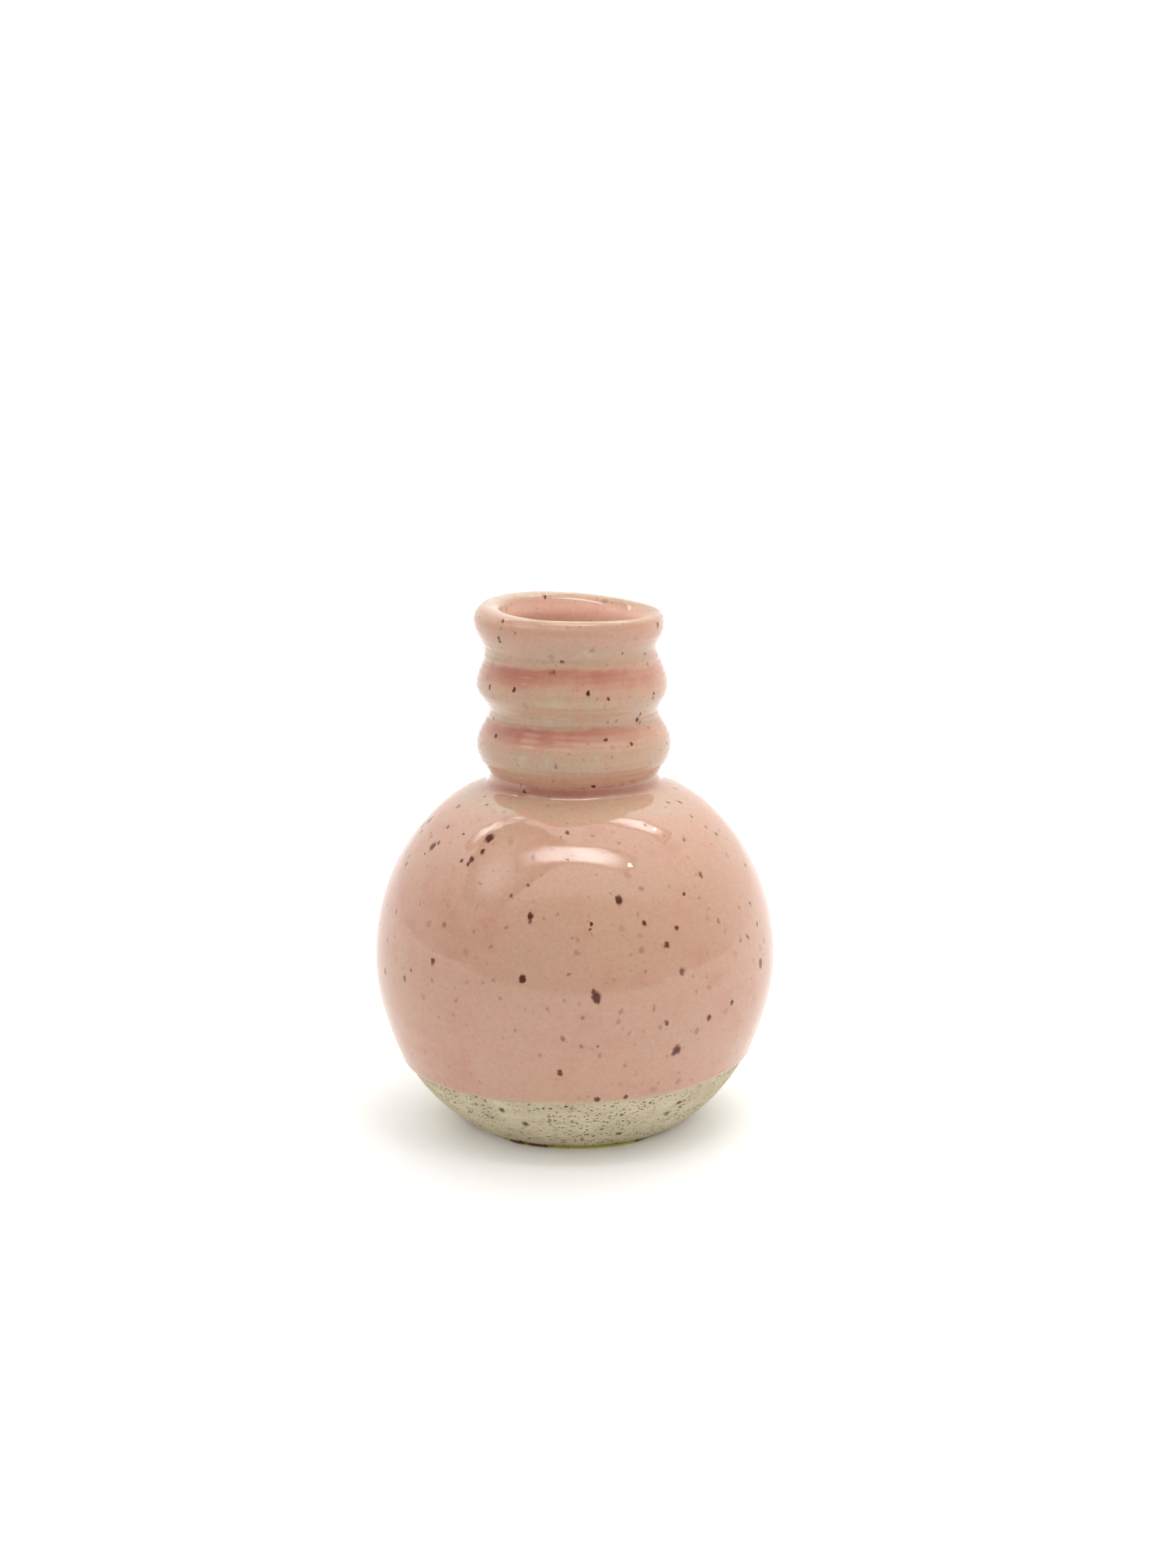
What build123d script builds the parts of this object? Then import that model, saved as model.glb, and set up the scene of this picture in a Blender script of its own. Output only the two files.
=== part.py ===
"""A wheel-thrown stoneware bud vase: round globe, ribbed neck, glazed inside and out, with a bare foot.

Millimetres, +Z up. The origin is on the axis, at the surface that the vase stands on.
Heights of the pot are measured from its own foot, which stands on a thin felt pad.
Every section is drawn once, on the right of the axis, and turned round it as on the wheel.
"""

from build123d import *
import os
from math import sqrt

# Felt pad stuck under the foot
pad_thickness = 0.5
pad_radius = 21.6

# Coats of glaze
outer_coat = 0.35
inner_coat = 0.3
glaze_line = 12.0  # height of the dipped edge above the foot
glaze_edge = 0.6  # height over which the coat thickens from nothing

# Clay, outside
foot_radius = 22.3
foot_round = 0.5
globe_radius = 37.15
globe_centre = 30.0  # height of the widest line
shoulder_fullness = 1.5  # how far the shoulder swells beyond a true sphere
shoulder_height = 59.0  # where the globe starts to turn up into the neck
fillet_height = 62.6  # half way up the sweep from the shoulder to the neck
fillet_radius = 18.9
neck_foot_height = 65.6
neck_foot_radius = 15.5
ring_heights = (70.7, 81.8, 93.2)  # bottom, middle and lip ring
ring_radii = (17.6, 17.25, 17.1)
groove_heights = (77.1, 88.7)  # the two grooves between the rings
groove_radii = (15.3, 15.5)

# Clay, lip and inside
lip_height = 95.65
lip_crown_radius = 15.6
lip_inside_height = 93.6
lip_inside_radius = 13.7
seam_height = 89.0  # where the outer coat ends inside the throat and the liner takes over
throat_radius = 12.9
throat_wave = 0.2  # how far the fingers' ridges stand in and out of the throat
throat_foot_height = 66.0
cavity_radius = 33.4
floor_height = 5.3
floor_radius = 12.0  # of the floor's flat middle
corner_height = 8.2
corner_radius = 24.4

up = (0, 1)
down = (0, -1)


def globe_point(height, coat=0.0):
    """A point of the globe's outside under or over the coat: a sphere with a fuller shoulder."""
    rise = height - globe_centre
    fuller = shoulder_fullness * (max(rise, 0) / globe_radius) ** 2
    return sqrt((globe_radius + coat) ** 2 - rise**2) + fuller, height


def globe_slope(height):
    """The sphere's direction of climb at a height."""
    return globe_centre - height, sqrt(globe_radius**2 - (height - globe_centre) ** 2)


def cavity_point(height, coat=0.0):
    """A point of the cavity's round wall."""
    return sqrt((cavity_radius - coat) ** 2 - (height - globe_centre) ** 2), height


def outside_line(start_height, coat=0.0):
    """Adds the outside from a height on the globe up, over the lip and down to the throat's seam."""
    middle_heights = (20, 30, 40, 50)
    globe = [globe_point(h, coat) for h in (start_height, *middle_heights, shoulder_height)]
    fillet = (fillet_radius + 0.7 * coat, fillet_height + 0.7 * coat)
    neck_foot = (neck_foot_radius + coat, neck_foot_height)
    crests = [(r + coat, h) for r, h in zip(ring_radii, ring_heights)]
    grooves = [(r + coat, h) for r, h in zip(groove_radii, groove_heights)]
    crown = (lip_crown_radius, lip_height + coat)
    lip_inside = (lip_inside_radius - coat, lip_inside_height)
    seam = (throat_radius - coat, seam_height)

    shoulder_slope = globe_slope(shoulder_height)
    Spline(*globe, tangents=[globe_slope(start_height), shoulder_slope])
    Spline(globe[-1], fillet, neck_foot, tangents=[shoulder_slope, up])
    outline = [neck_foot, crests[0], grooves[0], crests[1], grooves[1], crests[2]]
    Spline(*outline, tangents=[up] * len(outline))
    Spline(crests[2], crown, tangents=[up, (-1, 0)])
    Spline(crown, lip_inside, seam, tangents=[(-1, 0), down])


def inside_line(coat=0.0):
    """Adds the inside from the throat's seam down to the middle of the floor."""
    wide = throat_radius + throat_wave - coat
    narrow = throat_radius - coat
    throat_foot = (narrow, throat_foot_height)
    floor_edge = (floor_radius, floor_height + coat)

    Spline(
        (narrow, seam_height),
        (wide, ring_heights[1]),
        (narrow, groove_heights[0]),
        (wide, ring_heights[0]),
        throat_foot,
        tangents=[down, down],
    )
    Spline(
        throat_foot,
        *[cavity_point(h, coat) for h in (56, 44, 30, 17)],
        (corner_radius - coat / 2, corner_height + coat / 2),
        floor_edge,
        tangents=[down, (-1, 0)],
    )
    Line(floor_edge, (0, floor_height + coat))


os.makedirs("parts", exist_ok=True)
pot_section = Plane(origin=(0, 0, pad_thickness), x_dir=(1, 0, 0), z_dir=(0, -1, 0))

# Felt pad: a plain disc, glued to the foot
with BuildPart() as base_pad:
    with BuildSketch(Plane.XY):
        Circle(pad_radius)
    extrude(amount=pad_thickness)
base_pad.part.label = "base_pad"
export_step(base_pad.part, "parts/base_pad.step")

# Stoneware: floor, globe, ribbed neck and lip, thrown from one lump of clay
with BuildPart() as stoneware_body:
    with BuildSketch(pot_section):
        with BuildLine():
            foot_edge = (foot_radius, foot_round)
            foot_flat = (foot_radius - foot_round, 0)
            bare_top = globe_point(glaze_line)
            Line((0, 0), foot_flat)
            Spline(foot_flat, foot_edge, tangents=[(1, 0), globe_slope(foot_round)])
            Spline(foot_edge, bare_top, tangents=[globe_slope(foot_round), globe_slope(glaze_line)])
            outside_line(glaze_line)
            inside_line()
            Line((0, floor_height), (0, 0))
        make_face()
    revolve(axis=Axis.Z)
stoneware_body.part.label = "stoneware_body"
export_step(stoneware_body.part, "parts/stoneware_body.step")

# Outer glaze: from the dipped edge, up the globe and the rings, over the lip to the throat's seam
with BuildPart() as outer_glaze:
    with BuildSketch(pot_section):
        with BuildLine():
            full_coat = globe_point(glaze_line + glaze_edge, outer_coat)
            outside_line(glaze_line)
            outside_line(glaze_line + glaze_edge, outer_coat)
            Line(globe_point(glaze_line), full_coat)
            Line((throat_radius, seam_height), (throat_radius - outer_coat, seam_height))
        make_face()
    revolve(axis=Axis.Z)
outer_glaze.part.label = "outer_glaze"
export_step(outer_glaze.part, "parts/outer_glaze.step")

# Inner glaze: the liner that makes the vase hold water, from the throat's seam to the floor's middle
with BuildPart() as inner_glaze:
    with BuildSketch(pot_section):
        with BuildLine():
            inside_line()
            inside_line(inner_coat)
            Line((0, floor_height), (0, floor_height + inner_coat))
            Line((throat_radius, seam_height), (throat_radius - inner_coat, seam_height))
        make_face()
    revolve(axis=Axis.Z)
inner_glaze.part.label = "inner_glaze"
export_step(inner_glaze.part, "parts/inner_glaze.step")
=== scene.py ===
"""Looks of the stoneware bud vase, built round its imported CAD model.

The frame is in metres, with the floor at z = 0 and the camera on the -Y side. The shapes below are worked
out in millimetres from the pot's foot, as a potter would measure them, and MM turns them into metres.
Angles go round the axis from the side that faces the camera, positive towards +X.
"""

import math
import random

import bpy
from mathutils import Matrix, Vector, noise


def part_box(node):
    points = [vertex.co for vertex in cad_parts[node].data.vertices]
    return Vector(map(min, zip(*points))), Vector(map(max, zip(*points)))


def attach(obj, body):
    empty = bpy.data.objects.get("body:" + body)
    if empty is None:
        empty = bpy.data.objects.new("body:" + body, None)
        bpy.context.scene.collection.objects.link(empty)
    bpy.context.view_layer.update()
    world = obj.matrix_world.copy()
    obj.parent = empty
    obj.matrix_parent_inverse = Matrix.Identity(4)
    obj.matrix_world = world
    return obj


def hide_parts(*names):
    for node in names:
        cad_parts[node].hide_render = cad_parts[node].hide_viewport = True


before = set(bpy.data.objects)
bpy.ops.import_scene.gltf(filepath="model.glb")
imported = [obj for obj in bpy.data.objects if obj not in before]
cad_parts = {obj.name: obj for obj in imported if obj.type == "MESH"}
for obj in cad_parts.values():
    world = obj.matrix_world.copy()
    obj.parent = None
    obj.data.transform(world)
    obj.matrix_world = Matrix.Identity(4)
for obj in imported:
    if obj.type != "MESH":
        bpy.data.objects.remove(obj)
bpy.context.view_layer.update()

MM = 0.001
PAD_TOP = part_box("base_pad")[1].z / MM
PAD_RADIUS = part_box("base_pad")[1].x / MM
GLOBE_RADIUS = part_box("outer_glaze")[1].x / MM

# Camera: at the photograph's distance and height, a little right of the axis, looking slightly down
CAMERA_PLACE = (0.00245, -0.4848, 0.1809)
CAMERA_TILT = 13.63
CAMERA_LENS = 61.84

camera = bpy.data.objects.new("camera", bpy.data.cameras.new("camera"))
camera.location = CAMERA_PLACE
camera.rotation_euler = (math.radians(90 - CAMERA_TILT), 0, 0)
camera.data.lens = CAMERA_LENS
camera.data.sensor_width = 36
bpy.context.scene.collection.objects.link(camera)
bpy.context.scene.camera = camera
bpy.context.scene.view_settings.view_transform = "Standard"


# ---------------------------------------------------------------- the pot's shape, in mm above its foot

GLOBE_CENTRE = 30.0
SHOULDER_FULLNESS = 1.5  # how far the shoulder swells beyond a true sphere
HIP_SLIMNESS = 0.35  # and how far the globe draws in under its widest line
HIP = 19.0
HIP_WIDTH = 7.0
COAT = 0.35
GLAZE_LINE = 12.0
SHOULDER = 59.0
NECK_FOOT = (15.6, 65.7)
# crests and grooves up the neck: (height, radius, sharpness of the stretch that leads up to it)
NECK_TURNS = (
    (71.0, 18.0, 0.6),
    (77.4, 15.6, 1.1),
    (82.0, 17.65, 0.85),
    (88.9, 15.8, 1.0),
    (93.4, 17.4, 0.85),
)
FILLET_REACH = 8.4  # pull of the sweep's two ends, from the shoulder and from the neck's foot
FILLET_DROP = 3.8
LIP_TOP = 96.05
LIP_CROWN = 15.8
THROAT = 12.6
THROAT_FOOT = 64.5
SEAM = (THROAT + 0.3, 89.0)  # where the outer coat ends inside the throat and the liner takes over
CAVITY_RADIUS = 33.1
FLOOR_TOP = 5.6


def smooth(low, high, value):
    """0 below low, 1 above high, and an even S between."""
    t = min(max((value - low) / (high - low), 0.0), 1.0)
    return t * t * (3 - 2 * t)


def mix(a, b, share):
    """a when the share is 0, b when it is 1."""
    return a + (b - a) * share


def bell(middle, width, value):
    """1 at the middle, fading to nothing about twice the width away."""
    return math.exp(-(((value - middle) / width) ** 2))


def globe_radius(height, radius=GLOBE_RADIUS):
    """A sphere with a fuller shoulder and slimmer hips."""
    rise = height - GLOBE_CENTRE
    fuller = SHOULDER_FULLNESS * (max(rise, 0) / GLOBE_RADIUS) ** 2
    slimmer = HIP_SLIMNESS * bell(HIP, HIP_WIDTH, height)
    return math.sqrt(max(radius * radius - rise * rise, 0)) + fuller - slimmer


def neck_radius(height):
    """The ribbed neck: three soft rings with two grooves between them."""
    low_height, low_radius = NECK_FOOT[1], NECK_FOOT[0]
    for top_height, top_radius, power in NECK_TURNS:
        if height <= top_height:
            share = max(height - low_height, 0) / (top_height - low_height)
            return mix(low_radius, top_radius, smooth(0, 1, share**power))
        low_height, low_radius = top_height, top_radius
    return low_radius


def bezier(a, b, c, d, share):
    """The point at a share of the way along a cubic curve."""
    rest = 1 - share
    return tuple(
        rest**3 * p + 3 * rest * rest * share * q + 3 * rest * share * share * r + share**3 * s
        for p, q, r, s in zip(a, b, c, d)
    )


def steps(count):
    """count even shares from 0 to just under 1."""
    return [i / count for i in range(count)]


def outside_rows(rows_globe=90, rows_fillet=36, rows_neck=124, rows_lip=22):
    """The glazed outside from the dipped edge to the lip's crown, as (radius, height)."""
    start = math.asin((GLAZE_LINE - GLOBE_CENTRE) / GLOBE_RADIUS)
    end = math.asin((SHOULDER - GLOBE_CENTRE) / GLOBE_RADIUS)
    rows = []
    for share in steps(rows_globe):
        height = GLOBE_CENTRE + GLOBE_RADIUS * math.sin(mix(start, end, share))
        rows.append((globe_radius(height), height))
    shoulder = (globe_radius(SHOULDER), SHOULDER)
    slope = (-math.sin(end), math.cos(end))
    leave = (shoulder[0] + FILLET_REACH * slope[0], shoulder[1] + FILLET_REACH * slope[1])
    arrive = (NECK_FOOT[0], NECK_FOOT[1] - FILLET_DROP)
    rows += [bezier(shoulder, leave, arrive, NECK_FOOT, share) for share in steps(rows_fillet)]
    crest_height, crest_radius = NECK_TURNS[-1][0], NECK_TURNS[-1][1]
    for share in steps(rows_neck):
        height = mix(NECK_FOOT[1], crest_height, share)
        rows.append((neck_radius(height), height))
    for share in steps(rows_lip):
        turn = share * math.pi / 2
        radius = mix(LIP_CROWN, crest_radius, math.cos(turn))
        rows.append((radius, mix(crest_height, LIP_TOP, math.sin(turn))))
    return rows


def lip_inside_rows(count=20):
    """From the crown down the inner side of the lip to the top of the throat."""
    crown, edge = (LIP_CROWN, LIP_TOP), (SEAM[0], 90.0)
    return [
        bezier(crown, (LIP_CROWN - 1.7, LIP_TOP), (THROAT + 0.4, 94.2), edge, share)
        for share in steps(count)
    ]


COAT_START = -0.05  # the edge dips just under the clay
COAT_ROUNDING = 0.2
BEAD = 0.16
BEAD_MIDDLE = 0.7
BEAD_WIDTH = 0.5


def coat_at(over_line):
    """The outer coat's thickness at a height over its edge: it rounds up quickly to a soft bead."""
    if over_line <= 0:
        return COAT_START
    rounded = COAT * (1 - math.exp(-over_line / COAT_ROUNDING))
    return rounded + BEAD * bell(BEAD_MIDDLE, BEAD_WIDTH, over_line)


def line_shift(angle):
    """The dipped edge isn't level: it rises to the right and wavers a little."""
    waver = noise.noise(Vector((2.2 * math.sin(angle), 2.2 * math.cos(angle), 0.3)))
    nibble = noise.noise(Vector((26 * math.sin(angle), 26 * math.cos(angle), 4.1)))
    return 0.8 * math.sin(angle) + 0.35 * waver + 0.1 * nibble


def lean(height):
    """Where the neck's middle is in X: it steps left of the globe's axis, and the lip turns back a bit."""
    left = 0.1 * smooth(60, 66, height) + 0.4 * smooth(78, 82.5, height) + 0.6 * smooth(86, 90, height)
    return 0.45 * smooth(93.6, 96, height) - left


def lip_rise(angle, height):
    """The lip stands highest at the left and back left, lowest at the back right."""
    tilt = 0.75 * math.cos(angle + math.radians(87))
    twist = 0.25 * math.cos(2 * angle - math.radians(70))
    return (tilt + twist) * smooth(88, 95, height)


def lip_shift(radius, height):
    """The mouth stands right of the lip's own middle, so the lip is thick at the left."""
    inner = smooth(LIP_CROWN + 1.2, LIP_CROWN - 1.6, radius)
    return 1.15 * inner * smooth(86, 94, height)


def dents(x, y, height):
    """Slow waves that hands leave in a thrown wall."""
    slow = noise.noise(Vector((x / 26, y / 26, height / 20)))
    quick = noise.noise(Vector((x / 11 + 7, y / 11, height / 7)))
    return 0.2 * slow + 0.025 * quick


# crisp marks of fingers and tool round the pot: (height, depth, width)
TOOL_MARKS = (
    (87.8, 0.13, 0.28),
    (88.5, -0.06, 0.4),
    (77.1, 0.12, 0.28),
    (77.8, -0.05, 0.4),
    (67.4, 0.2, 0.3),
    (66.3, 0.07, 0.3),
    (62.5, 0.05, 0.24),
    (61.8, 0.05, 0.22),
    (61.0, 0.05, 0.24),
    (60.1, 0.03, 0.24),
    (80.2, 0.04, 0.3),
    (69.3, 0.04, 0.3),
    (91.6, 0.04, 0.3),
)


def sag(angle, height):
    """How much lower than at the front and back the creases and pools of the neck lie at the sides."""
    return 0.5 * (1 - math.cos(2 * angle)) * smooth(69, 75, height) * smooth(93, 89, height)


def throwing_lines(angle, height):
    """Fine ridges that climb round the pot like a screw, strongest on the neck."""
    strength = mix(0.008, 0.025, smooth(56, 66, height))
    turns = height / 1.15 + angle / (2 * math.pi)
    wobble = 0.6 * noise.noise(Vector((height / 3, math.sin(angle), math.cos(angle))))
    ridge = strength * math.sin(2 * math.pi * turns + 3 * wobble)
    level = height + sag(angle, height)
    marks = sum(depth * bell(at, width, level) for at, depth, width in TOOL_MARKS)
    fading = 0.65 + 0.35 * noise.noise(Vector((height, 1.5 * math.sin(angle), 1.5 * math.cos(angle))))
    return ridge - marks * fading


def place_outside(angle, radius, height, coat=COAT, follow_line=True):
    """The point of the outside for a row of the outline, with everything that isn't true about it."""
    if follow_line and height < SHOULDER:
        height += line_shift(angle) * smooth(24, GLAZE_LINE, height)
    if height < SHOULDER:
        radius = globe_radius(height, GLOBE_RADIUS - COAT + coat)
    else:
        radius += coat - COAT
    x, y = math.sin(angle), -math.cos(angle)
    bare = smooth(GLAZE_LINE - 6, GLAZE_LINE + 4, height)
    radius += dents(x * radius, y * radius, height)
    radius += throwing_lines(angle, height) * bare
    x, y = x * radius, y * radius
    x += lean(height) + lip_shift(radius, height)
    return Vector((x, y, height + lip_rise(angle, height)))


THROAT_WAVE = 0.15
THROAT_WAVE_LENGTH = 12.0


def throat_rows(count=60):
    """The liner's face from the seam down the throat to where the cavity opens."""
    rows = []
    for share in steps(count):
        height = mix(SEAM[1], THROAT_FOOT, share)
        wave = THROAT_WAVE * (1 + math.cos((height - SEAM[1]) * 2 * math.pi / THROAT_WAVE_LENGTH))
        rows.append((THROAT + wave * smooth(THROAT_FOOT, THROAT_FOOT + 3, height), height))
    return rows


CAVITY_START = math.radians(52)  # where the cavity's round wall begins and ends, as angles over its middle
CAVITY_END = math.radians(-42)


def wall_point(turn):
    """A point of the cavity's round wall, as (radius, height)."""
    return CAVITY_RADIUS * math.cos(turn), GLOBE_CENTRE + CAVITY_RADIUS * math.sin(turn)


def cavity_rows(count_shoulder=20, count_wall=60, count_floor=24):
    """The liner's face from the throat's foot over the shoulder, down the wall and across the floor."""
    wall_top = wall_point(CAVITY_START)
    wall_end = wall_point(CAVITY_END)
    top, leave = (THROAT, THROAT_FOOT), (THROAT, THROAT_FOOT - 3)
    arrive = (wall_top[0] - 3.6, wall_top[1] + 2.8)
    rows = [bezier(top, leave, arrive, wall_top, share) for share in steps(count_shoulder)]
    rows += [wall_point(mix(CAVITY_START, CAVITY_END, share)) for share in steps(count_wall)]
    leave = (wall_end[0] - 2.4, wall_end[1] - 2.2)
    for share in steps(count_floor):
        rows.append(bezier(wall_end, leave, (15, FLOOR_TOP), (3, FLOOR_TOP), share))
    return rows


def place_inside(angle, radius, height):
    """The point of the inside: throwing ridges climb the throat and the wall too."""
    x, y = math.sin(angle), -math.cos(angle)
    ridge = 0.07 * math.sin(2 * math.pi * height / 3.3 + angle) * smooth(8, 14, height)
    radius += ridge * smooth(95, 90, height) + 0.5 * dents(x * radius, y * radius, height + 31)
    x, y = x * radius, y * radius
    x += lean(height) + lip_shift(radius, height)
    return Vector((x, y, height + lip_rise(angle, height)))


# where the glaze's depth changes on the way up: (from height, to height, depth above it)
GLAZE_BANDS = (
    (60.2, 61.8, 0.3),
    (62.8, 64.2, 0.95),
    (65.0, 65.8, 0.6),
    (67.0, 68.2, 0.3),
    (71.8, 75.8, 0.95),
    (76.4, 77.4, 0.3),
    (82.2, 86.4, 0.95),
    (87.1, 88.1, 0.32),
    (90.2, 92.8, 0.52),
    (95.0, 96.0, 0.2),
)
GLOBE_DEPTH = 0.56


def glaze_depth_and_shade(angle, height, inside):
    """How thickly the glaze lies, 0 where it has run thin and beige, 1 where it has pooled deep pink;
    inside, its rise down the throat is partly painted shade.
    """
    # inside, the pink deepens down the throat: partly pooled glaze, partly painted shade deeper in the
    # mouth
    if inside:
        return mix(mix(0.55, 0.8, smooth(88, 66, height)), 0.2, bell(LIP_TOP, 1.1, height))
    x, y = math.sin(angle), math.cos(angle)
    waver = 0.7 * noise.noise(Vector((1.7 * x, 1.7 * y, height / 9)))
    waver += 0.35 * noise.noise(Vector((7 * x, 7 * y, height / 3)))
    height += waver + sag(angle, height)
    depth = GLOBE_DEPTH
    for low, high, above in GLAZE_BANDS:
        depth = mix(depth, above, smooth(low, high, height))
    if height < SHOULDER:
        return mix(0.1, depth, smooth(GLAZE_LINE + 0.2, GLAZE_LINE + 1.2, height))
    even = 0.52 + 0.12 * noise.noise(Vector((2 * x, 2 * y, height / 12 + 5)))
    pooled = 0.5 + 0.5 * math.cos(2 * angle + math.radians(30))
    return mix(even, depth, mix(0.45, 1.0, pooled))


def painted_light_inside(height, inside):
    """Painted light inside the mouth: 1 where the lip's inner side is painted palest, fading out over the
    crown and less down the throat.
    """
    lip_side = smooth(LIP_TOP - 0.2, LIP_TOP - 2.4, height)
    return lip_side * mix(0.25, 1.0, smooth(90.4, 93.2, height)) if inside else 0.0


def turned_mesh(name, rows, segments, place, depth=None, closed=False):
    """Skins a mesh round the axis through rows of (radius, height, inside) and gives each point its glaze.

    A row at radius 0 becomes one point, and closed joins the last row to the first.
    """
    points, depths, painted_light_shares, rings = [], [], [], []
    for radius, height, inside in rows:
        spots = 1 if radius == 0 else segments
        rings.append(range(len(points), len(points) + spots))
        for i in range(spots):
            angle = 2 * math.pi * i / segments
            point = place(angle, radius, height, inside)
            point.z += PAD_TOP
            points.append(point * MM)
            depths.append(depth(angle, height, bool(inside)) if depth else 0.0)
            painted_light_shares.append(painted_light_inside(height, inside))
    faces = []
    pairs = list(zip(rings, rings[1:]))
    if closed:
        pairs.append((rings[-1], rings[0]))
    for low, high in pairs:
        for i in range(segments):
            j = (i + 1) % segments
            if len(low) == 1:
                faces.append((low[0], high[j], high[i]))
            elif len(high) == 1:
                faces.append((low[i], low[j], high[0]))
            else:
                faces.append((low[i], low[j], high[j], high[i]))
    mesh = bpy.data.meshes.new(name)
    mesh.from_pydata(points, [], faces)
    mesh.validate()
    mesh.shade_smooth()
    if depth:
        mesh.attributes.new("glaze_depth_and_shade", "FLOAT", "POINT").data.foreach_set("value", depths)
        mesh.attributes.new("inner_painted_light", "FLOAT", "POINT").data.foreach_set("value", painted_light_shares)
    piece = bpy.data.objects.new(name, mesh)
    bpy.context.scene.collection.objects.link(piece)
    return piece


# ---------------------------------------------------------------- materials

class Nodes:
    """Short names for building the nodes of one material or of the world."""

    def __init__(self, owner):
        owner.use_nodes = True
        self.tree = owner.node_tree
        places = self.add("ShaderNodeTexCoord").outputs
        self.place = places["Object"]
        self.direction = places["Generated"]
        scaled = self.add("ShaderNodeVectorMath", operation="SCALE")
        self.feed(scaled.inputs[0], self.place)
        self.feed(scaled.inputs["Scale"], 1 / MM)
        self.place_mm = scaled.outputs[0]

    def add(self, kind, **settings):
        made = self.tree.nodes.new(kind)
        for key, value in settings.items():
            setattr(made, key, value)
        return made

    def feed(self, socket, value):
        """Links a socket to another, or sets it to a constant."""
        if isinstance(value, bpy.types.NodeSocket):
            self.tree.links.new(value, socket)
        else:
            socket.default_value = value

    def attribute(self, name):
        """A value that the mesh holds for each point."""
        return self.add("ShaderNodeAttribute", attribute_name=name).outputs["Fac"]

    def maths(self, operation, a, b=0.0):
        made = self.add("ShaderNodeMath", operation=operation)
        self.feed(made.inputs[0], a)
        self.feed(made.inputs[1], b)
        return made.outputs[0]

    def strongest(self, a, b):
        return self.maths("MAXIMUM", a, b)

    def scaled(self, a, factor):
        return self.maths("MULTIPLY", a, factor)

    def vector(self, operation, a, b):
        made = self.add("ShaderNodeVectorMath", operation=operation)
        self.feed(made.inputs[0], a)
        self.feed(made.inputs[1], b)
        return made.outputs["Value"] if operation == "DISTANCE" else made.outputs["Vector"]

    def side(self, vector, name):
        """The X, Y or Z of a vector."""
        made = self.add("ShaderNodeSeparateXYZ")
        self.feed(made.inputs[0], vector)
        return made.outputs[name]

    def noise(self, size, detail=2.0, roughness=0.5, place=None, colour=False):
        """Cloudy noise with lumps of about that size in mm, from 0 to 1."""
        made = self.add("ShaderNodeTexNoise")
        self.feed(made.inputs["Vector"], place or self.place_mm)
        self.feed(made.inputs["Scale"], 1 / size)
        self.feed(made.inputs["Detail"], detail)
        self.feed(made.inputs["Roughness"], roughness)
        return made.outputs["Color" if colour else "Fac"]

    def wobble(self, size):
        """A noise that pushes every way alike, from -0.5 to 0.5 on each side."""
        return self.vector("SUBTRACT", self.noise(size, 2, 0.6, colour=True), (0.5, 0.5, 0.5))

    def cells(self, size, place):
        """The distance to the nearest scattered point in mm, and that point's own colour."""
        made = self.add("ShaderNodeTexVoronoi")
        self.feed(made.inputs["Vector"], place)
        self.feed(made.inputs["Scale"], 1 / size)
        return self.scaled(made.outputs["Distance"], size), made.outputs["Color"]

    def span(self, value, low, high, out_low=0.0, out_high=1.0):
        """Goes from out_low to out_high in an even S while the value goes from low to high."""
        made = self.add("ShaderNodeMapRange", interpolation_type="SMOOTHSTEP")
        sockets = ("Value", "From Min", "From Max", "To Min", "To Max")
        for socket, number in zip(sockets, (value, low, high, out_low, out_high)):
            self.feed(made.inputs[socket], number)
        return made.outputs["Result"]

    def ramp(self, value, stops):
        """The colour for a value, between stops of (value, colour)."""
        made = self.add("ShaderNodeValToRGB")
        elements = made.color_ramp.elements
        while len(elements) < len(stops):
            elements.new(0.5)
        for element, (at, colour) in zip(elements, stops):
            element.position = at
            element.color = (*colour, 1)
        self.feed(made.inputs[0], value)
        return made.outputs["Color"]

    def blend(self, share, a, b, kind="MIX"):
        made = self.add("ShaderNodeMix", data_type="RGBA", blend_type=kind)
        self.feed(made.inputs["Factor"], share)
        for socket, value in ((made.inputs[6], a), (made.inputs[7], b)):
            self.feed(socket, value if isinstance(value, bpy.types.NodeSocket) else (*value, 1))
        return made.outputs[2]

    def stretched(self, x, y, z):
        """The place in mm with each side scaled, which squeezes a pattern by as much."""
        return self.vector("MULTIPLY", self.place_mm, (x, y, z))

    def channel(self, colour, name):
        made = self.add("ShaderNodeSeparateColor")
        self.feed(made.inputs[0], colour)
        return made.outputs[name]

    def bump(self, height, distance_mm, normal=None):
        made = self.add("ShaderNodeBump")
        self.feed(made.inputs["Distance"], distance_mm * MM)
        self.feed(made.inputs["Height"], height)
        if normal:
            self.feed(made.inputs["Normal"], normal)
        return made.outputs["Normal"]


class MaterialNodes(Nodes):
    """The nodes of a new material with one main shader."""

    def __init__(self, name):
        self.material = bpy.data.materials.new(name)
        super().__init__(self.material)
        self.shader = self.tree.nodes["Principled BSDF"]

    def finish(self, colour, roughness, normal=None, **constants):
        self.feed(self.shader.inputs["Base Color"], colour)
        self.feed(self.shader.inputs["Roughness"], roughness)
        if normal:
            self.feed(self.shader.inputs["Normal"], normal)
        for name, value in constants.items():
            self.shader.inputs[name.replace("_", " ")].default_value = value
        return self.material

    def shine(self, colour, strength):
        """A lamp's material: it only gives light."""
        self.shader.inputs["Base Color"].default_value = (0, 0, 0, 1)
        self.shader.inputs["Emission Color"].default_value = (*colour, 1)
        self.feed(self.shader.inputs["Emission Strength"], strength)
        return self.material


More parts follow.
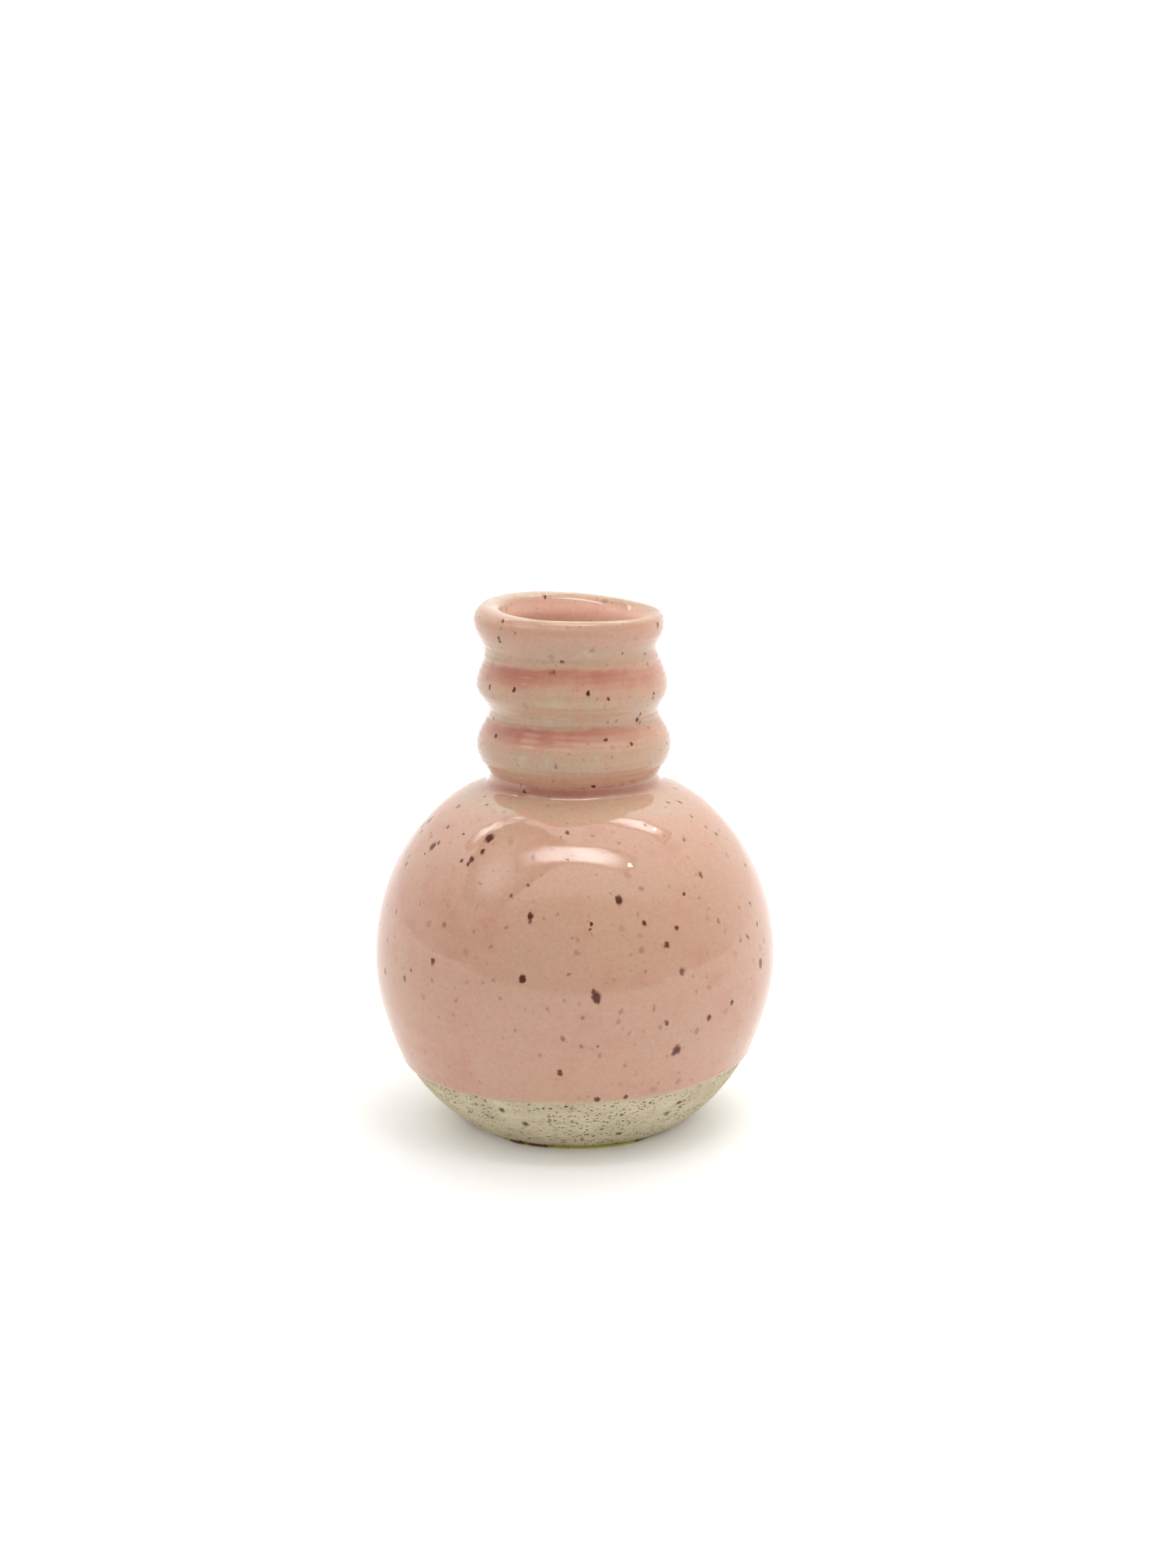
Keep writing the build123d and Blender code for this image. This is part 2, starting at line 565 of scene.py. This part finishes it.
# The iron spots that catch the eye: (angle in degrees, height in mm, radius in mm, darkness)
GLOBE_SPOTS = (
    (-36, 58, 0.75, 0.9), (-36, 56, 0.5, 0.8), (-39, 54.5, 0.55, 0.9), (-39.5, 53.7, 0.4, 0.8),
    (-43, 54, 0.35, 0.8), (-62, 54.5, 0.7, 0.85), (-60, 55.3, 0.4, 0.7), (-73, 50, 0.4, 0.7),
    (-80, 55, 0.4, 0.6), (-3, 59.7, 0.35, 0.8), (18, 58, 0.3, 0.4), (-15, 56, 0.4, 0.45),
    (14, 49.5, 0.62, 0.9), (5, 46, 0.3, 1.0), (-13, 47, 0.5, 0.95), (-13, 46.2, 0.35, 0.6),
    (21, 45.5, 0.45, 0.75), (31, 44, 0.4, 0.75), (27, 41.5, 0.45, 0.7), (46, 51.5, 0.5, 0.6),
    (22, 51, 0.4, 0.4), (31, 36.5, 0.5, 0.6), (-43, 37, 0.48, 1.0), (-52, 34, 0.35, 0.6),
    (-55, 32, 0.45, 0.6), (-68, 31, 0.5, 0.6), (-14, 36.5, 0.5, 1.0), (6, 33.5, 0.72, 0.95),
    (5.4, 34.6, 0.4, 0.7), (49, 28.5, 0.35, 0.9), (40, 27, 0.48, 0.8), (30, 22, 0.72, 0.85),
    (29.3, 21.3, 0.5, 0.7), (-3, 26, 0.4, 0.5), (2, 24.5, 0.4, 0.45), (-4, 19, 0.5, 0.8),
    (65, 33, 0.7, 0.8), (66, 44, 0.35, 0.9), (59, 39, 0.4, 0.6), (67, 40, 0.4, 0.7),
    (-7, 31.5, 0.35, 0.4), (24, 27, 0.4, 0.35), (36, 25, 0.5, 0.4), (15, 26.5, 0.35, 0.35),
    (7, 13.2, 0.45, 0.75), (16, 13.3, 0.4, 0.7), (-20, 45, 0.3, 0.4), (-47, 43, 0.5, 0.3),
    (-20, 50, 0.3, 0.6), (47, 57, 0.38, 0.55), (47, 43.5, 0.42, 0.45), (55, 39, 0.38, 0.35),
    (25.5, 28, 0.35, 0.55), (-16, 27, 0.28, 0.4), (-9.5, 22.5, 0.38, 0.4), (6.5, 24.5, 0.28, 0.55),
    (7, 22.5, 0.38, 0.35), (-43, 33.5, 0.32, 0.4), (-35, 28, 0.28, 0.45), (-34, 31, 0.32, 0.35),
    (-70, 60.5, 0.45, 0.6), (-62, 57.8, 0.4, 0.65), (-68, 55.5, 0.38, 0.6), (-52, 62, 0.35, 0.6),
    (58, 62, 0.4, 0.6), (66, 61.5, 0.4, 0.6), (62, 59.5, 0.35, 0.6), (68, 56, 0.35, 0.55),
    (75, 49.5, 0.35, 0.6), (65, 57.5, 0.32, 0.5), (-5, 47.5, 0.28, 0.35), (-9, 46.8, 0.28, 0.35),
    (1, 43.5, 0.38, 0.3), (-2.5, 33, 0.32, 0.35), (12, 29, 0.42, 0.35), (22, 30.5, 0.32, 0.4),
    (35, 32.5, 0.32, 0.35), (20, 37.5, 0.28, 0.4), (-24, 41.5, 0.28, 0.35), (-30, 43.5, 0.32, 0.35),
    (-66, 42.5, 0.35, 0.45), (-68, 37, 0.35, 0.4), (11, 36.5, 0.28, 0.3), (42, 48, 0.3, 0.4),
)
NECK_SPOTS = (
    (-46, 92.5, 0.35, 0.8), (-46, 91.8, 0.32, 0.8), (-57, 83, 0.35, 1.0), (-36, 83.5, 0.42, 1.0),
    (10, 83.5, 0.42, 1.0), (22, 82.5, 0.3, 0.7), (57, 82, 0.33, 0.7), (57, 81, 0.33, 0.7),
    (49, 78.2, 0.3, 0.9), (47, 77.3, 0.42, 0.95), (50, 76.7, 0.3, 0.8), (23, 77.6, 0.38, 0.4),
    (29, 77.8, 0.35, 0.4), (-68, 76.5, 0.35, 0.7), (-56, 74, 0.42, 0.8), (37, 73.6, 0.4, 0.7),
    (-10, 70.3, 0.45, 0.4), (-11, 87, 0.5, 0.5), (-13, 86.9, 0.4, 0.4), (-4, 88.9, 0.35, 0.6),
    (13, 66.2, 0.42, 0.9), (-38, 65.8, 0.4, 0.4), (41, 66.2, 0.4, 0.35), (59, 89, 0.4, 0.7),
    (67, 94, 0.45, 0.85), (-34, 70, 0.25, 0.4), (-33, 93.8, 0.3, 0.4), (-100, 95, 0.4, 0.5),
    (-118, 95.5, 0.3, 0.6), (170, 95.2, 0.35, 0.8), (160, 95, 0.3, 0.6), (-152, 95.6, 0.3, 0.5),
)
FOOT_SPOTS = (
    (-25, 9, 0.55, 1.0), (-18, 6, 0.62, 1.0), (18, 3.2, 0.58, 1.0), (35, 6.8, 0.58, 0.95),
    (-41, 6.4, 0.4, 0.9), (-7, 5.0, 0.3, 0.8), (12, 8.3, 0.38, 0.9), (3, 2.6, 0.35, 0.8),
    (28, 9.5, 0.35, 0.8), (-20, 4.6, 0.3, 0.7), (-5, 1.6, 0.4, 0.6), (8, 1.9, 0.35, 0.6),
    (-40, 7.4, 0.3, 0.7), (16, 7.0, 0.3, 0.8), (-9, 3.0, 0.3, 0.7),
)


def far_spots(count=26):
    """Spots for the side the photograph doesn't show, scattered as thickly as on the front."""
    draw = random.Random(11)
    return tuple(
        (draw.uniform(82, 278), draw.uniform(14, 57), draw.uniform(0.3, 0.72), draw.uniform(0.5, 1.0))
        for _ in range(count)
    )


SPOT_SQUEEZE = 0.75  # the spots have run a little, so they are taller than wide
SPOT_CORE = 0.5  # a spot is darkest out to this share of its radius
GLOBE_SPOT_REACH = 1.7  # and fades to nothing at this share
NECK_SPOT_REACH = 1.35
OUTLINE = outside_rows(400, 160, 400, 60)


def outline_radius(height):
    """The outside's radius at a height, looked up in the outline."""
    if height <= GLAZE_LINE:
        return globe_radius(height)
    return min(OUTLINE, key=lambda row: abs(row[1] - height))[0]


def spot_mask(nodes, spots, place):
    """How much of each listed spot covers a point, taking the strongest."""
    covered = 0.0
    place = nodes.vector("MULTIPLY", place, (1, 1, SPOT_SQUEEZE))
    for degrees, height, radius, darkness in spots:
        angle = math.radians(degrees)
        out = outline_radius(height)
        reach = GLOBE_SPOT_REACH if height < NECK_FOOT[1] else NECK_SPOT_REACH
        up = (height + PAD_TOP) * SPOT_SQUEEZE
        middle = (out * math.sin(angle) + lean(height), -out * math.cos(angle), up)
        away = nodes.vector("DISTANCE", place, middle)
        one = nodes.span(away, SPOT_CORE * radius, reach * radius, darkness, 0.0)
        covered = nodes.strongest(one, covered)
    return covered


SMALLEST_SPOT = 0.02


def scattered_spots(nodes, place, cell, largest, share, seed):
    """Small spots at random: of the points scattered one to a cell, only the given share shows."""
    shifted = nodes.vector("ADD", place, (seed, 2 * seed, 3 * seed))
    away, colour = nodes.cells(cell, shifted)
    chosen = nodes.maths("LESS_THAN", nodes.channel(colour, "Red"), share)
    radius = nodes.maths("ADD", nodes.scaled(nodes.channel(colour, "Green"), largest), SMALLEST_SPOT)
    inside = nodes.span(nodes.maths("DIVIDE", away, radius), 0.5, 1.1, 1.0, 0.0)
    strength = nodes.span(nodes.channel(colour, "Blue"), 0, 1, 0.35, 0.95)
    return nodes.scaled(nodes.scaled(inside, strength), chosen)


CREAM = (0.60, 0.47, 0.33)
BEIGE = (0.53, 0.37, 0.25)
SALMON = (0.585, 0.338, 0.238)
# pooled glaze in the neck's grooves and round its foot, made darker than the glaze alone as painted shade
# there
POOLED_PINK_AND_SHADE = (0.475, 0.185, 0.125)
IRON = (0.08, 0.016, 0.004)
IRON_EDGE = (0.26, 0.09, 0.045)
TAN = (0.30, 0.145, 0.085)
# painted light: the lip's inner side and, more weakly, the throat are blended towards this pale pink for
# the light that falls into the mouth
PAINTED_LIGHT_PINK = (0.95, 0.58, 0.45)
PAINTED_LIGHT_LIFT = 0.85
FRECKLE_TINT = (0.93, 0.905, 0.885)
CLEAR_TINT = (1.02, 1.02, 1.02)
TAN_STRENGTH = 0.65
THIN_BLOTCHINESS = 2.7  # how much blotchier the glaze is where it lies thin
GLAZE_ROUGHNESS = (0.035, 0.07)
IRON_ROUGHNESS = 0.12


def glaze_colour(n, patches):
    """The glaze's colour, from its depth at each point, with clouds, blotches and streaks over it, painted
    light inside the mouth and painted shade in the pooled grooves.
    """
    depth = n.attribute("glaze_depth_and_shade")
    clouds = n.noise(17, 2, 0.5)
    streaks = n.noise(2.6, 3, 0.6, n.stretched(0.16, 0.16, 1.8))
    mottle = n.noise(1.5, 3, 0.6)
    grain = n.noise(0.5, 3, 0.7)
    cloudy = n.scaled(n.maths("SUBTRACT", clouds, 0.5), 0.4)
    blotchy = 0.0
    for pattern, weight in ((patches, 0.3), (streaks, 0.16), (mottle, 0.2), (grain, 0.2)):
        centred = n.maths("SUBTRACT", pattern, 0.5)
        blotchy = n.maths("ADD", blotchy, n.scaled(centred, weight))
    blotchy = n.scaled(blotchy, n.span(depth, 0.3, 0.55, THIN_BLOTCHINESS, 1.0))
    thickness = n.maths("ADD", depth, n.maths("ADD", cloudy, blotchy))
    # the ramp's deep end is pooled pink darkened as painted shade in the grooves
    colour = n.ramp(thickness, ((0.0, CREAM), (0.24, BEIGE), (0.58, SALMON), (1.0, POOLED_PINK_AND_SHADE)))
    # painted light inside the mouth: pale pink blended in by the painted-light share
    colour = n.blend(n.scaled(n.attribute("inner_painted_light"), PAINTED_LIGHT_LIFT), colour, PAINTED_LIGHT_PINK)
    freckles = n.ramp(n.noise(0.75, 4, 0.75), ((0.34, FRECKLE_TINT), (0.62, CLEAR_TINT)))
    return n.blend(1.0, colour, freckles, "MULTIPLY")


def glaze_material(name, spots):
    """Glossy dusty-pink glaze: beige where thin, deeper where pooled and darker there as painted shade,
    paler inside the lip as painted light, with iron bled through from below.
    """
    n = MaterialNodes(name)
    patches = n.noise(4.2, 4, 0.6)
    colour = glaze_colour(n, patches)

    ragged = n.vector("ADD", n.place_mm, n.vector("MULTIPLY", n.wobble(0.9), (0.9, 0.9, 1.3)))
    large_tan = scattered_spots(n, ragged, 2.6, 0.85, 0.6, 5.0)
    small_tan = scattered_spots(n, ragged, 1.4, 0.36, 0.55, 9.0)
    colour = n.blend(n.scaled(n.strongest(large_tan, small_tan), TAN_STRENGTH), colour, TAN)
    iron = scattered_spots(n, ragged, 3.6, 0.62, 0.42, 31.0)
    if spots:
        iron = n.strongest(iron, spot_mask(n, spots, ragged))
    spot_colour = n.ramp(iron, ((0.3, IRON_EDGE), (0.85, IRON)))
    colour = n.blend(n.span(iron, 0.0, 0.75), colour, spot_colour)

    gloss = n.span(patches, 0.3, 0.7, *GLAZE_ROUGHNESS)
    roughness = n.maths("ADD", gloss, n.scaled(iron, IRON_ROUGHNESS))
    skin = n.bump(n.noise(3.2, 2, 0.5), 0.025)
    fine = n.bump(n.noise(0.35, 2, 0.5), 0.002, skin)
    return n.finish(colour, roughness, fine, IOR=1.52)


CLAY_LIGHT = (0.69, 0.605, 0.425)
CLAY_MID = (0.59, 0.51, 0.345)
CLAY_DARK = (0.43, 0.36, 0.235)
PIT = (0.09, 0.055, 0.025)


def clay_material(name):
    """Bare fired stoneware: sandy grey-beige, matte, with dark pits and iron specks."""
    n = MaterialNodes(name)
    sand = n.noise(0.3, 4, 0.7, n.stretched(1, 1, 1.6))
    clouds = n.noise(6, 3, 0.55)
    rings = n.noise(1.6, 3, 0.6, n.stretched(0.2, 0.2, 1.5))
    shade = n.maths("ADD", n.scaled(sand, 0.4), n.scaled(clouds, 0.35))
    shade = n.maths("ADD", shade, n.scaled(rings, 0.25))
    colour = n.ramp(shade, ((0.34, CLAY_DARK), (0.48, CLAY_MID), (0.62, CLAY_LIGHT)))

    wobble = n.wobble(0.4)
    ragged = n.vector("ADD", n.stretched(0.8, 0.8, 1.25), n.vector("MULTIPLY", wobble, (0.45, 0.45, 0.45)))
    coarse_pits = scattered_spots(n, ragged, 0.75, 0.36, 0.6, 3.0)
    fine_pits = scattered_spots(n, ragged, 0.45, 0.24, 0.6, 13.0)
    crowd = n.span(n.noise(8, 2, 0.5), 0.38, 0.52, 0.4, 1.1)
    pits = n.scaled(n.strongest(coarse_pits, fine_pits), crowd)
    near = n.vector("ADD", n.place_mm, n.vector("MULTIPLY", wobble, (0.3, 0.3, 0.3)))
    specks = scattered_spots(n, ragged, 3.4, 0.7, 0.35, 23.0)
    specks = n.strongest(spot_mask(n, FOOT_SPOTS, near), specks)
    dark = n.strongest(pits, specks)
    colour = n.blend(dark, colour, PIT)

    rough = n.bump(sand, 0.03)
    normal = n.bump(n.maths("SUBTRACT", 1.0, dark), 0.15, rough)
    return n.finish(colour, n.span(sand, 0.3, 0.7, 0.75, 0.95), normal)


FELT_OLIVE = (0.50, 0.43, 0.06)
FELT_YELLOW = (0.75, 0.66, 0.10)
FELT_GAP_SHADE = (0.20, 0.07, 0.035)


def felt_material(name):
    """Pressed olive-yellow felt, with dark brown patches of painted shade where the foot's edge leaves gaps
    over it.
    """
    n = MaterialNodes(name)
    fibres = n.noise(0.35, 4, 0.7, n.stretched(1, 1, 2.5))
    patches = n.noise(4.5, 3, 0.65, n.vector("ADD", n.place_mm, (0, 0, 11)))
    colour = n.ramp(fibres, ((0.35, FELT_OLIVE), (0.62, FELT_YELLOW)))
    # painted shade: dark brown patches stand for the shaded gaps between the foot's edge and the felt
    colour = n.blend(n.span(patches, 0.5, 0.6), colour, FELT_GAP_SHADE)
    return n.finish(colour, 0.95, n.bump(fibres, 0.12), Sheen_Weight=0.25, Sheen_Roughness=0.6)


FLOOR_GLOW = 0.105
FLOOR_TONES = ((0.87, 0.87, 0.865), (0.9, 0.9, 0.895))


def floor_material(name):
    """A sheet of white acrylic, lit a little from below."""
    n = MaterialNodes(name)
    tone = n.ramp(n.noise(60, 2, 0.5), ((0.3, FLOOR_TONES[0]), (0.7, FLOOR_TONES[1])))
    return n.finish(tone, 0.6, Emission_Color=(1, 1, 1, 1), Emission_Strength=FLOOR_GLOW)


# ---------------------------------------------------------------- pieces

GLAZE_SEGMENTS = 288
CLAY_SEGMENTS = 640
HIDDEN_COAT = -0.12  # the coat's back lies this far inside the clay
LINER_COAT = 0.4

# Outer glaze: up from the dipped edge, over the lip to the seam, and back down inside the clay
outside = [(r, h, False) for r, h in outside_rows()]
lip = [(r, h, True) for r, h in lip_inside_rows()] + [(*SEAM, True)]
hidden = [(r, h, None) for r, h in outside_rows(16, 6, 18, 4)]


def place_coat(angle, radius, height, inside):
    """Rows with inside True lie in the mouth, and rows with None on the coat's back."""
    if inside:
        return place_inside(angle, radius, height)
    if inside is None:
        return place_outside(angle, radius, height, coat=HIDDEN_COAT)
    return place_outside(angle, radius, height, coat=coat_at(height - GLAZE_LINE))


outer_coat = turned_mesh(
    "outer_glaze_coat",
    outside + lip + hidden[::-1],
    GLAZE_SEGMENTS,
    place_coat,
    glaze_depth_and_shade,
    closed=True,
)
outer_coat.data.materials.append(glaze_material("pink_glaze", GLOBE_SPOTS + NECK_SPOTS + far_spots()))
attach(outer_coat, "root")
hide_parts("outer_glaze")

# Inner glaze: the liner's face, and a second skin just inside the clay
liner_face = throat_rows() + cavity_rows()
liner_rows = [(r, h, True) for r, h in liner_face] + [(0, FLOOR_TOP, True)]
liner_back = [(r + LINER_COAT, h, None) for r, h in liner_face[::4]]


def place_liner(angle, radius, height, _):
    return place_inside(angle, radius, height)


liner = turned_mesh(
    "inner_glaze_liner",
    [(0, FLOOR_TOP - LINER_COAT, None)] + liner_back[::-1] + liner_rows,
    GLAZE_SEGMENTS,
    place_liner,
    glaze_depth_and_shade,
)
liner.data.materials.append(glaze_material("pink_liner", ()))
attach(liner, "root")
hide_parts("inner_glaze")

# Stoneware body: bare and pitted below the dipped edge, plain where the glaze hides it
FOOT_RADIUS = 22.2
FOOT_ROUND = 0.5
foot_rows = [(0, 0, "under")] + [(r, 0, "under") for r in (6, 12, 17, 20, 21.2)]
for share in steps(5):
    turn = share * math.pi / 2
    edge_radius = FOOT_RADIUS - FOOT_ROUND * (1 - math.sin(turn))
    foot_rows.append((edge_radius, FOOT_ROUND * (1 - math.cos(turn)), "under"))
BARE_ROWS = 66
BARE_TOP = GLAZE_LINE + 1.6  # a little way under the glaze's edge
for i in range(BARE_ROWS):
    height = mix(FOOT_ROUND, BARE_TOP, i / (BARE_ROWS - 1))
    foot_rows.append((globe_radius(height), height, "bare"))
covered = [(r, h, "covered") for r, h in outside_rows(20, 6, 22, 4)[3:]]
lined = [(r, h, "lined") for r, h in lip_inside_rows(5) + throat_rows(8) + cavity_rows(4, 8, 4)]
UNDER_LINER = 0.25
UNDER_LIP = 0.2
PIT_DEPTH = 0.16


def sand_relief(point):
    """Grain and torn pits of the bare clay, in mm, outwards."""
    grain = 0.035 * noise.noise(point / 0.5) + 0.05 * noise.noise(point / 1.7)
    away, places = noise.voronoi(point / 1.25)
    torn = noise.cell(places[0] * 7) > 0.1
    return grain - PIT_DEPTH * smooth(0.34, 0.12, away[0]) if torn else grain


def place_clay(angle, radius, height, zone):
    """Each zone has its own relief: flat under the foot, sandy where bare, plain under the glaze."""
    if zone == "under":
        return Vector((math.sin(angle) * radius, -math.cos(angle) * radius, height))
    if zone == "bare":
        point = place_outside(angle, radius, height, coat=0, follow_line=False)
        out = Vector((point.x, point.y, point.z - GLOBE_CENTRE)).normalized()
        return point + out * sand_relief(point) * smooth(0.3, 1.2, height)
    if zone == "covered":
        return place_outside(angle, radius, height, coat=0)
    return place_inside(angle, radius + UNDER_LINER, height - UNDER_LIP)


clay = turned_mesh(
    "stoneware_pot",
    foot_rows + covered + lined + [(0, FLOOR_TOP - UNDER_LINER, "lined")],
    CLAY_SEGMENTS,
    place_clay,
)
clay.data.materials.append(clay_material("bare_stoneware"))
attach(clay, "root")
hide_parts("stoneware_body")

# Felt pad: a hand-cut disc that shows as a thin uneven line under the front of the foot
PAD_SEGMENTS = 360
EDGE = 1  # a row's radius for the cut edge, which place_pad replaces
pad_rows = [(0, 0, None), (12, 0, None), (20, 0, None)]
pad_rows += [(EDGE, height, None) for height in (-0.06, -0.2, -0.36)]
pad_rows += [(0.99 * EDGE, -PAD_TOP, None), (12, -PAD_TOP, None), (0, -PAD_TOP, None)]


def pad_edge(angle, height):
    """The cut edge's radius: wavy and fuzzy, and further out at the front."""
    x, y = math.sin(angle), math.cos(angle)
    wave = 0.2 * noise.noise(Vector((3 * x, 3 * y, 0.5)))
    fuzz = 0.12 * noise.noise(Vector((45 * x, 45 * y, 4 * height)))
    turn = abs(math.remainder(angle, 2 * math.pi))
    proud = 0.75 * smooth(math.radians(42), math.radians(26), turn)
    return PAD_RADIUS - 0.35 + proud + wave + fuzz


def place_pad(angle, radius, height, _):
    if 0 < radius <= EDGE:
        radius *= pad_edge(angle, height)
    return Vector((radius * math.sin(angle), -radius * math.cos(angle), height))


pad = turned_mesh("felt_pad", pad_rows, PAD_SEGMENTS, place_pad)
pad.data.materials.append(felt_material("olive_felt"))
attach(pad, "root")
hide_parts("base_pad")


# ---------------------------------------------------------------- studio: a light tent with an open front

TENT_ROOF = 0.306
FRONT_GLOW = 0.46
BACK_GLOW = 1.2
ROOF_GLOW = 1.24
ROOM_COLOUR = (1, 0.96, 0.92)
ROOM_GLOW = 0.34
# soft lights on the roof: (name, place, size, turn in degrees, strength, softness)
LAMPS = (
    ("front_strip", (0.0, -0.104), (0.33, 0.072), -4, 11.0, 0.72),
    ("front_end", (0.150, -0.114), (0.014, 0.010), 0, 45.0, 0.5),
    ("back_strip_right", (0.13, 0.066), (0.22, 0.07), -3, 8.0, 0.8),
    ("back_strip_left", (-0.17, 0.085), (0.26, 0.055), 5, 8.0, 0.9),
    ("back_end", (0.174, 0.072), (0.012, 0.012), 0, 45.0, 0.5),
    ("left_patch", (-0.25, -0.11), (0.44, 0.26), 30, 2.3, 1.0),
)


def plane(name, middle, size, turn, material):
    """A rectangle of the stage, size in metres, turned by Euler angles in degrees."""
    bpy.ops.mesh.primitive_plane_add(size=1, location=middle, rotation=[math.radians(a) for a in turn])
    made = bpy.context.object
    made.name = name
    made.scale = (*size, 1)
    made.data.materials.append(material)
    return made


def soft_glow(name, strength, softness):
    """A white glow that fades to nothing over the outer share of a rectangle's half width."""
    n = MaterialNodes(name)
    level = strength
    for side in ("X", "Y"):
        away = n.maths("ABSOLUTE", n.side(n.place, side))
        level = n.span(away, 0.5 * (1 - softness), 0.5, level, 0.0)
    return n.shine((1, 1, 1), level)


def lamp_panel(name, place, size, turn, strength, softness):
    """A soft light on the tent's roof, size in metres; only its glow shows."""
    panel = plane(name, (*place, TENT_ROOF), size, (180, 0, turn), soft_glow(name, strength, softness))
    panel.visible_camera = False


def open_front():
    """The dimmer, warmer room beyond the tent's open front."""
    room = MaterialNodes("dim_room").shine(ROOM_COLOUR, ROOM_GLOW)
    front = plane("open_front", (-0.1, -0.42, 0.225), (1.2, 0.45), (90, 0, 0), room)
    front.visible_camera = False
    front.visible_shadow = False


def tent_world():
    """Cloth that glows most at the back and on the roof, least at the front, and looks plain white."""
    world = bpy.data.worlds.new("tent")
    bpy.context.scene.world = world
    n = Nodes(world)
    back = n.span(n.side(n.direction, "Y"), -0.4, 0.8, FRONT_GLOW, BACK_GLOW)
    roof = n.span(n.side(n.direction, "Z"), 0.3, 0.95, 0.0, ROOF_GLOW)
    cloth = n.tree.nodes["Background"]
    cloth.inputs["Color"].default_value = (1, 1, 1, 1)
    n.feed(cloth.inputs["Strength"], n.maths("ADD", back, roof))
    white = n.add("ShaderNodeBackground")
    white.inputs["Color"].default_value = (1, 1, 1, 1)
    choose = n.add("ShaderNodeMixShader")
    n.feed(choose.inputs[0], n.add("ShaderNodeLightPath").outputs["Is Camera Ray"])
    n.feed(choose.inputs[1], cloth.outputs[0])
    n.feed(choose.inputs[2], white.outputs[0])
    n.feed(n.tree.nodes["World Output"].inputs[0], choose.outputs[0])


plane("floor", (0, 0, 0), (6, 6), (0, 0, 0), floor_material("pale_floor"))
for lamp in LAMPS:
    lamp_panel(*lamp)
open_front()
tent_world()
